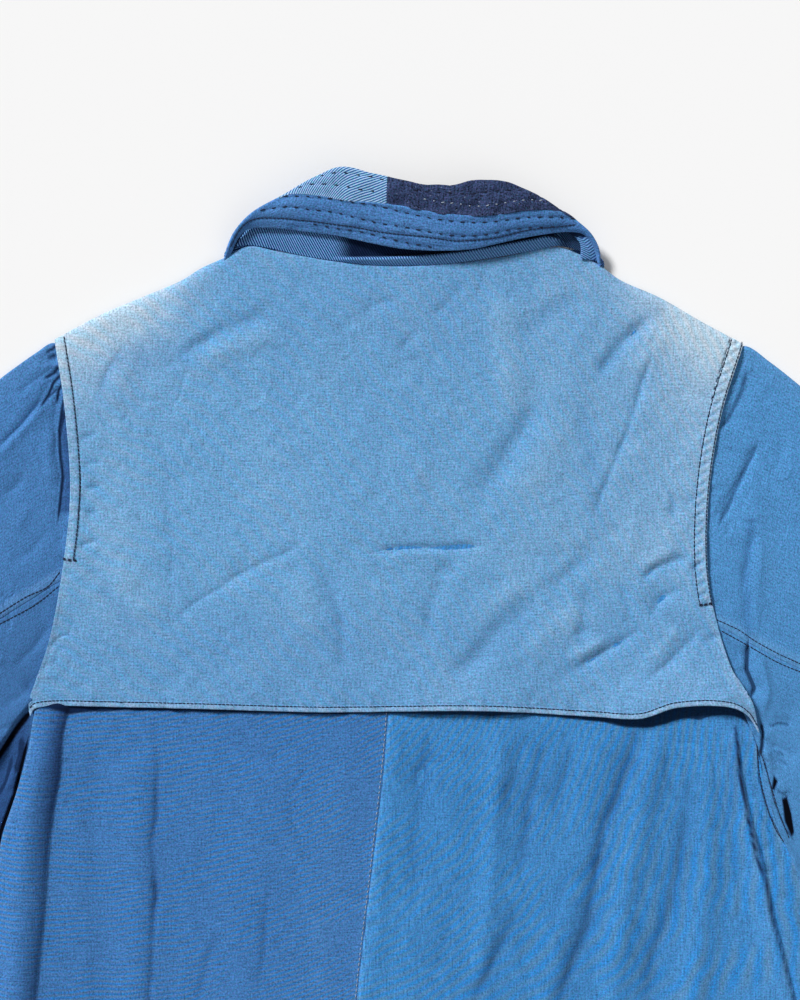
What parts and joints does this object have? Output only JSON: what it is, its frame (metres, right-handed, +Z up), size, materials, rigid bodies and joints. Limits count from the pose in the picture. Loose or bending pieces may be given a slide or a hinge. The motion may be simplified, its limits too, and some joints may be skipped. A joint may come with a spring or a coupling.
{
  "type": "patched boro jacket",
  "caption": "Patched indigo cotton jacket laid flat, back up, with a cape-like back yoke, a patched turned-down collar and two-piece sleeves.",
  "frame": {"origin": "middle of the underside, on the surface that the jacket lies on", "axes": "+X across the back towards the wearer's right sleeve, +Y from hem to collar, +Z up from the surface, out of the jacket's back"},
  "size_m": [1.25, 0.8028, 0.0261],
  "materials": {
    "indigo_cloth": "plain-weave cotton, indigo, faded along its folds",
    "faded_cloth": "plain-weave cotton, pale indigo, faded nearly white over the shoulders",
    "sleeve_cloth": "plain-weave cotton, indigo",
    "blue_twill": "cotton twill with pale diagonal ribs",
    "light_twill": "light cotton twill patch with hand running stitches",
    "navy_cloth": "dark navy slub cotton with flecks of undyed yarn",
    "band_cloth": "plain-weave cotton, medium indigo, with hand running stitches",
    "button": "dull moulded button"
  },
  "bodies": {
    "root": {"back_left": "indigo_cloth", "back_right": "indigo_cloth", "back_yoke": "faded_cloth", "front_left": "indigo_cloth", "front_right": "indigo_cloth", "sleeve_upper_left": "sleeve_cloth", "sleeve_under_left": "sleeve_cloth", "sleeve_upper_right": "sleeve_cloth", "sleeve_under_right": "sleeve_cloth", "collar_stand": "blue_twill", "collar_patch_light": "light_twill", "collar_patch_navy": "navy_cloth", "collar_band": "band_cloth", "collar_under": "blue_twill", "collar_leaf_left": "light_twill", "collar_leaf_right": "navy_cloth", "button_1": "button", "button_2": "button", "button_3": "button", "button_4": "button", "button_5": "button"}
  },
  "joints": []
}
